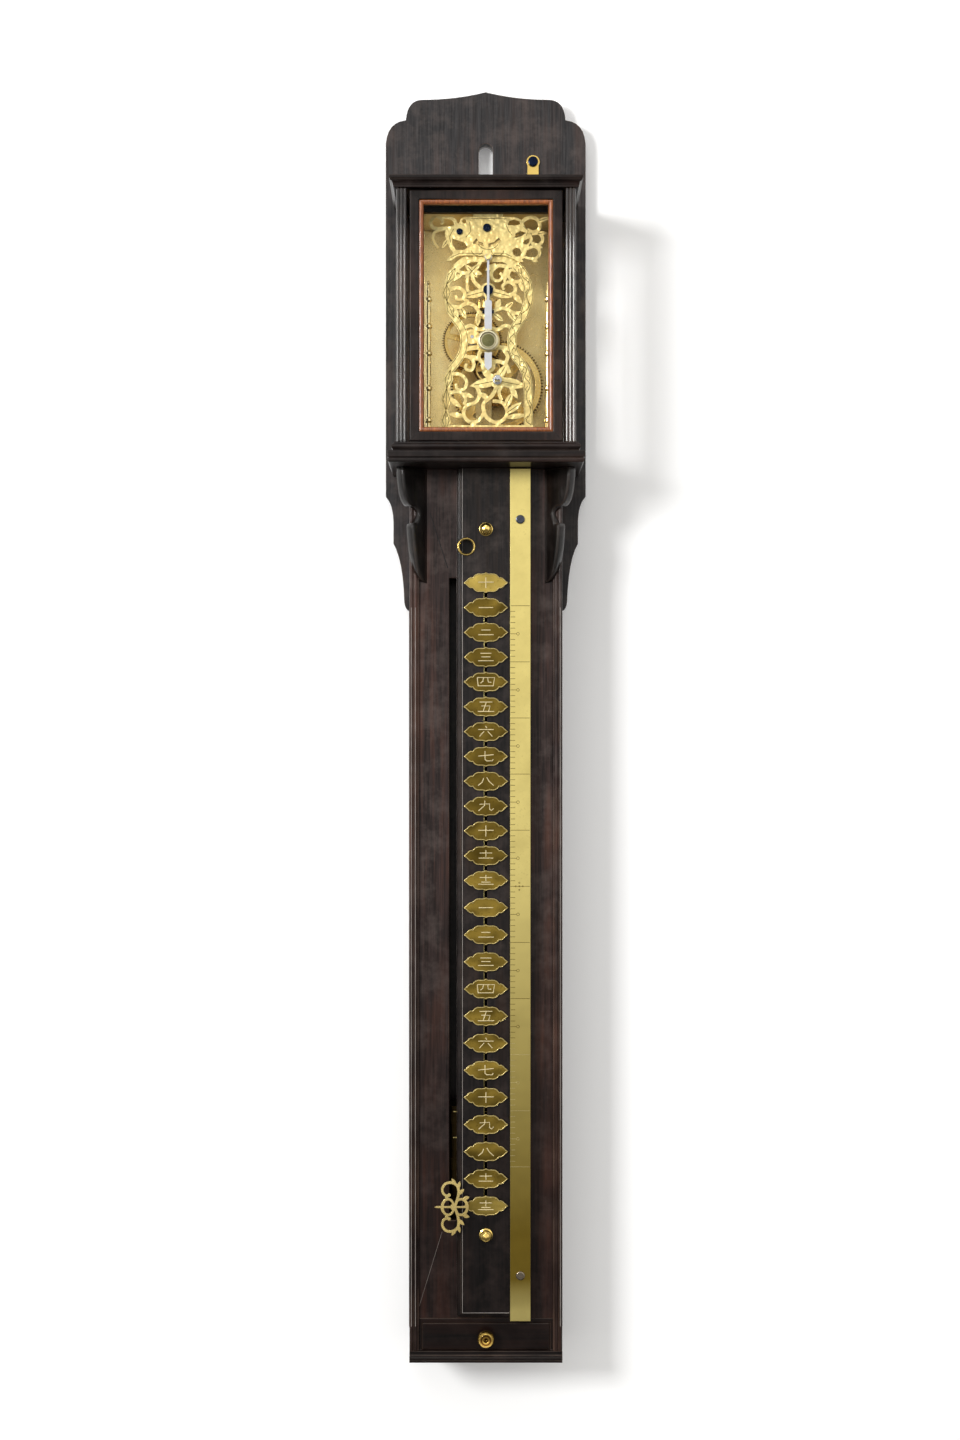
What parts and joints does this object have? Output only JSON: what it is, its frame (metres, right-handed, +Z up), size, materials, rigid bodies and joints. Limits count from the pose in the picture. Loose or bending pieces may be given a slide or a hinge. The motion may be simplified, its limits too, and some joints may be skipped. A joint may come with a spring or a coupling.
{
  "type": "japanese pillar clock",
  "caption": "Wall-hung wooden pillar clock with a glazed hood, brass going train, pendulum, falling weight with scrolled pointer, sliding hour plates, brass rule and drawer.",
  "frame": {"origin": "top of the hanging slot, on the back face against the wall", "axes": "+Z up, +Y into the wall, front towards -Y, +X to the viewer's right"},
  "size_m": [0.112, 0.0756, 0.7005],
  "materials": {
    "dark_wood": "polished dark brown lacquer",
    "red_wood": "polished red-brown",
    "brass": "worn bright brass",
    "gilt_brass": "matte gilt",
    "aged_brass": "dark olive patina with bright rims",
    "blued_steel": "blued",
    "steel": "polished",
    "glass": "clear",
    "cord": "twisted silk"
  },
  "bodies": {
    "case": {"backboard": "dark_wood", "trunk_sides": "dark_wood", "trunk_base": "dark_wood", "front_board": "dark_wood", "seat_board": "dark_wood", "hour_panel": "dark_wood", "rule": "brass", "screws": "blued_steel", "panel_fittings": "brass", "corbels": "dark_wood", "hood_top": "dark_wood", "hood_sill": "dark_wood", "hood_shelf": "dark_wood", "hood_sides": "dark_wood", "side_glass": "glass", "hood_strap": "brass", "movement_plates": "gilt_brass", "pillars": "gilt_brass", "front_fret": "gilt_brass", "front_cock": "gilt_brass"},
    "drawer": {"drawer": "dark_wood", "drawer_knob": "brass"},
    "glazed_front": {"front_frame": "dark_wood", "front_bead": "red_wood", "front_glass": "glass"},
    "drum": {"drum": "brass"},
    "great_wheel": {"great_wheel": "brass"},
    "second_wheel": {"second_wheel": "brass"},
    "third_wheel": {"third_wheel": "brass"},
    "crown_wheel": {"crown_wheel": "brass"},
    "verge": {"verge": "steel"},
    "pendulum": {"pendulum": "steel"},
    "weight": {"weight": "brass", "pointer": "brass", "weight_cord": "cord"},
    "hour_01": {"hour_01": "aged_brass"},
    "hour_02": {"hour_02": "aged_brass"},
    "hour_03": {"hour_03": "aged_brass"},
    "hour_04": {"hour_04": "aged_brass"},
    "hour_05": {"hour_05": "aged_brass"},
    "hour_06": {"hour_06": "aged_brass"},
    "hour_07": {"hour_07": "aged_brass"},
    "hour_08": {"hour_08": "aged_brass"},
    "hour_09": {"hour_09": "aged_brass"},
    "hour_10": {"hour_10": "aged_brass"},
    "hour_11": {"hour_11": "aged_brass"},
    "hour_12": {"hour_12": "aged_brass"},
    "hour_13": {"hour_13": "aged_brass"},
    "hour_14": {"hour_14": "aged_brass"},
    "hour_15": {"hour_15": "aged_brass"},
    "hour_16": {"hour_16": "aged_brass"},
    "hour_17": {"hour_17": "aged_brass"},
    "hour_18": {"hour_18": "aged_brass"},
    "hour_19": {"hour_19": "aged_brass"},
    "hour_20": {"hour_20": "aged_brass"},
    "hour_21": {"hour_21": "aged_brass"},
    "hour_22": {"hour_22": "aged_brass"},
    "hour_23": {"hour_23": "aged_brass"},
    "hour_24": {"hour_24": "aged_brass"},
    "hour_25": {"hour_25": "aged_brass"}
  },
  "joints": [
    {"name": "drawer_slide", "type": "slide", "parent": "case", "child": "drawer", "axis": [0, -1, 0], "range_m": [0, 0.024]},
    {"name": "front_pull", "type": "slide", "parent": "case", "child": "glazed_front", "axis": [0, -1, 0], "range_m": [0, 0.03]},
    {"name": "weight_travel", "type": "slide", "parent": "case", "child": "weight", "axis": [0, 0, 1], "range_m": [0, 0.33648], "deforming": ["weight_cord"]},
    {"name": "drum_turn", "type": "hinge", "parent": "case", "child": "drum", "pos_m": [0.0061, 0, -0.1399], "axis": [0, 1, 0], "range_deg": [0, 2976.1]},
    {"name": "second_turn", "type": "hinge", "parent": "case", "child": "second_wheel", "pos_m": [-0.00743, 0, -0.11627], "axis": [0, -1, 0], "continuous": true},
    {"name": "great_turn", "type": "hinge", "parent": "case", "child": "great_wheel", "pos_m": [0.0061, 0, -0.1399], "axis": [0, -1, 0], "continuous": true},
    {"name": "third_turn", "type": "hinge", "parent": "case", "child": "third_wheel", "pos_m": [0.0012, 0, -0.13185], "axis": [0, -1, 0], "continuous": true},
    {"name": "crown_turn", "type": "hinge", "parent": "case", "child": "crown_wheel", "pos_m": [0.0012, -0.0426, -0.0911], "axis": [0, 0, 1], "continuous": true},
    {"name": "pendulum_swing", "type": "hinge", "parent": "case", "child": "pendulum", "pos_m": [0.0012, 0, -0.074], "axis": [0, -1, 0], "range_deg": [-6, 6]},
    {"name": "verge_swing", "type": "hinge", "parent": "case", "child": "verge", "pos_m": [0.0012, 0, -0.0911], "axis": [0, -1, 0], "range_deg": [-15, 15]},
    {"name": "hour_01_slide", "type": "slide", "parent": "case", "child": "hour_01", "axis": [0, 0, 1], "range_m": [-0.0009, 0.0009]},
    {"name": "hour_02_slide", "type": "slide", "parent": "case", "child": "hour_02", "axis": [0, 0, 1], "range_m": [-0.0009, 0.0009]},
    {"name": "hour_03_slide", "type": "slide", "parent": "case", "child": "hour_03", "axis": [0, 0, 1], "range_m": [-0.0009, 0.0009]},
    {"name": "hour_04_slide", "type": "slide", "parent": "case", "child": "hour_04", "axis": [0, 0, 1], "range_m": [-0.0009, 0.0009]},
    {"name": "hour_05_slide", "type": "slide", "parent": "case", "child": "hour_05", "axis": [0, 0, 1], "range_m": [-0.0009, 0.0009]},
    {"name": "hour_06_slide", "type": "slide", "parent": "case", "child": "hour_06", "axis": [0, 0, 1], "range_m": [-0.0009, 0.0009]},
    {"name": "hour_07_slide", "type": "slide", "parent": "case", "child": "hour_07", "axis": [0, 0, 1], "range_m": [-0.0009, 0.0009]},
    {"name": "hour_08_slide", "type": "slide", "parent": "case", "child": "hour_08", "axis": [0, 0, 1], "range_m": [-0.0009, 0.0009]},
    {"name": "hour_09_slide", "type": "slide", "parent": "case", "child": "hour_09", "axis": [0, 0, 1], "range_m": [-0.0009, 0.0009]},
    {"name": "hour_10_slide", "type": "slide", "parent": "case", "child": "hour_10", "axis": [0, 0, 1], "range_m": [-0.0009, 0.0009]},
    {"name": "hour_11_slide", "type": "slide", "parent": "case", "child": "hour_11", "axis": [0, 0, 1], "range_m": [-0.0009, 0.0009]},
    {"name": "hour_12_slide", "type": "slide", "parent": "case", "child": "hour_12", "axis": [0, 0, 1], "range_m": [-0.0009, 0.0009]},
    {"name": "hour_13_slide", "type": "slide", "parent": "case", "child": "hour_13", "axis": [0, 0, 1], "range_m": [-0.0015, 0.0009]},
    {"name": "hour_14_slide", "type": "slide", "parent": "case", "child": "hour_14", "axis": [0, 0, 1], "range_m": [-0.0015, 0.0015]},
    {"name": "hour_15_slide", "type": "slide", "parent": "case", "child": "hour_15", "axis": [0, 0, 1], "range_m": [-0.0015, 0.0015]},
    {"name": "hour_16_slide", "type": "slide", "parent": "case", "child": "hour_16", "axis": [0, 0, 1], "range_m": [-0.0015, 0.0015]},
    {"name": "hour_17_slide", "type": "slide", "parent": "case", "child": "hour_17", "axis": [0, 0, 1], "range_m": [-0.0015, 0.0015]},
    {"name": "hour_18_slide", "type": "slide", "parent": "case", "child": "hour_18", "axis": [0, 0, 1], "range_m": [-0.0015, 0.0015]},
    {"name": "hour_19_slide", "type": "slide", "parent": "case", "child": "hour_19", "axis": [0, 0, 1], "range_m": [-0.0015, 0.0015]},
    {"name": "hour_20_slide", "type": "slide", "parent": "case", "child": "hour_20", "axis": [0, 0, 1], "range_m": [-0.0015, 0.0015]},
    {"name": "hour_21_slide", "type": "slide", "parent": "case", "child": "hour_21", "axis": [0, 0, 1], "range_m": [-0.0015, 0.0015]},
    {"name": "hour_22_slide", "type": "slide", "parent": "case", "child": "hour_22", "axis": [0, 0, 1], "range_m": [-0.0015, 0.0015]},
    {"name": "hour_23_slide", "type": "slide", "parent": "case", "child": "hour_23", "axis": [0, 0, 1], "range_m": [-0.0015, 0.0015]},
    {"name": "hour_24_slide", "type": "slide", "parent": "case", "child": "hour_24", "axis": [0, 0, 1], "range_m": [-0.0015, 0.0015]},
    {"name": "hour_25_slide", "type": "slide", "parent": "case", "child": "hour_25", "axis": [0, 0, 1], "range_m": [-0.0015, 0.0015]}
  ],
  "couplings": [
    {"joint": "drum_turn", "follows": "weight_travel", "rad_per_m": 154.32},
    {"joint": "great_turn", "follows": "second_turn", "ratio": -0.086957},
    {"joint": "third_turn", "follows": "second_turn", "ratio": -9.5},
    {"joint": "crown_turn", "follows": "second_turn", "ratio": -57},
    {"joint": "verge_swing", "follows": "pendulum_swing", "ratio": 2.425}
  ]
}
